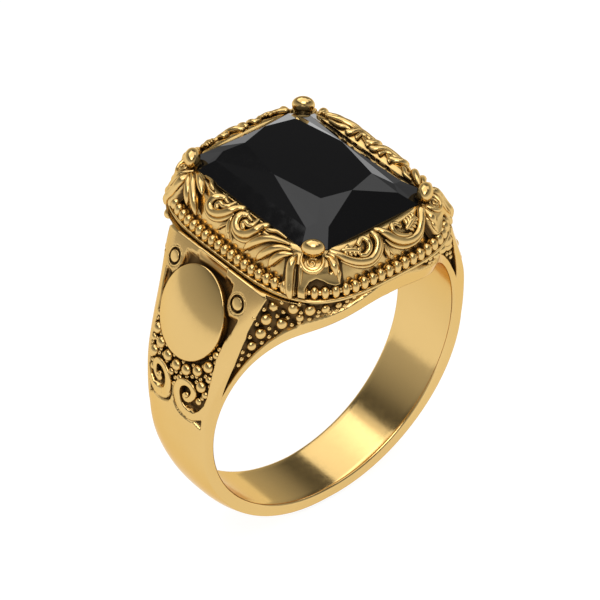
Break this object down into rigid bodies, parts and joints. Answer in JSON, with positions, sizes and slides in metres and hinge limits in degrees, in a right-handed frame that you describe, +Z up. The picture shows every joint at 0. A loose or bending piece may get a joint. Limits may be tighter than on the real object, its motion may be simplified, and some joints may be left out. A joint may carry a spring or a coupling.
{
  "type": "signet ring",
  "caption": "Gold signet-style ring with flared granulated shoulders, oval side bosses, a beaded scroll-work head and a rectangular faceted black stone in corner claws.",
  "frame": {"origin": "under the middle of the ring, at the lowest point of the shank", "axes": "+Z up through the middle of the head, X from shoulder to shoulder, Y along the finger"},
  "size_m": [0.0234, 0.018, 0.0282],
  "materials": {
    "polished_gold": "polished yellow gold, bright on high spots",
    "antiqued_gold": "yellow gold with dark antiquing left in the recesses",
    "black_stone": "opaque black, flat polished facets"
  },
  "bodies": {
    "root": {"shank": "polished_gold", "oval_boss_left": "polished_gold", "oval_boss_right": "polished_gold", "gallery_rail": "polished_gold", "stone_seat": "polished_gold", "ear_plate_front_left": "polished_gold", "ear_plate_back_left": "polished_gold", "ear_plate_front_right": "polished_gold", "ear_plate_back_right": "polished_gold", "stud_front_left": "polished_gold", "stud_back_left": "polished_gold", "stud_front_right": "polished_gold", "stud_back_right": "polished_gold", "shoulder_spiral_front_left": "polished_gold", "shoulder_spiral_back_left": "polished_gold", "shoulder_spiral_front_right": "polished_gold", "shoulder_spiral_back_right": "polished_gold", "claw_front_left": "polished_gold", "claw_back_left": "polished_gold", "claw_front_right": "polished_gold", "claw_back_right": "polished_gold", "leaf_fan_front_left": "polished_gold", "leaf_fan_back_left": "polished_gold", "leaf_fan_front_right": "polished_gold", "leaf_fan_back_right": "polished_gold", "corner_shield_front_left": "polished_gold", "corner_shield_back_left": "polished_gold", "corner_shield_front_right": "polished_gold", "corner_shield_back_right": "polished_gold", "side_scroll_front_left": "polished_gold", "side_scroll_back_left": "polished_gold", "side_scroll_front_right": "polished_gold", "side_scroll_back_right": "polished_gold", "end_scroll_front_left": "polished_gold", "end_scroll_back_left": "polished_gold", "end_scroll_front_right": "polished_gold", "end_scroll_back_right": "polished_gold", "side_spike_left": "polished_gold", "side_spike_right": "polished_gold", "end_spike_front": "polished_gold", "end_spike_back": "polished_gold", "bead_wire": "antiqued_gold", "bezel_wall": "antiqued_gold", "granule_panel_front_left": "antiqued_gold", "granule_panel_back_left": "antiqued_gold", "granule_panel_front_right": "antiqued_gold", "granule_panel_back_right": "antiqued_gold", "granule_panel_outer_left": "antiqued_gold", "granule_panel_outer_right": "antiqued_gold", "stone": "black_stone"}
  },
  "joints": []
}
